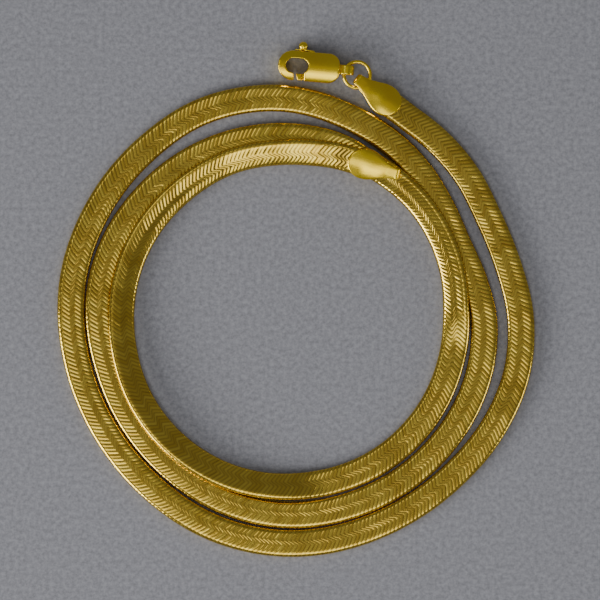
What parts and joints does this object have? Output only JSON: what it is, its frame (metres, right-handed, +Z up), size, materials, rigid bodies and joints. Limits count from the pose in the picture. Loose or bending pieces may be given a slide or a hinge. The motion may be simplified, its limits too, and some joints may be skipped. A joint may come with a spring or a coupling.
{
  "type": "herringbone chain",
  "caption": "Flat woven gold herringbone chain lying in a loose three-turn coil, with pear-shaped end caps, a jump ring and a lobster clasp with a sprung lever.",
  "frame": {"origin": "middle of the coil's outline, on the surface that the chain lies on", "axes": "+Z up from the surface, +Y towards the top of the coil where the clasp is, +X to the right seen from above"},
  "size_m": [0.0636, 0.0687, 0.0037],
  "materials": {
    "woven_gold": "polished",
    "polished_gold": "polished"
  },
  "bodies": {
    "necklace": {"chain": "woven_gold", "outer_end_cap": "polished_gold", "inner_end_cap": "polished_gold", "jump_ring": "polished_gold", "clasp_body": "polished_gold"},
    "lever": {"clasp_lever": "polished_gold"}
  },
  "joints": [
    {"name": "lever_hinge", "type": "hinge", "parent": "necklace", "child": "lever", "pos_m": [0.00283, 0.02998, 0.0012], "axis": [0, 0, 1], "range_deg": [-22, 0], "stiffness_Nm_per_rad": 0.002, "springref_deg": 20.05}
  ]
}
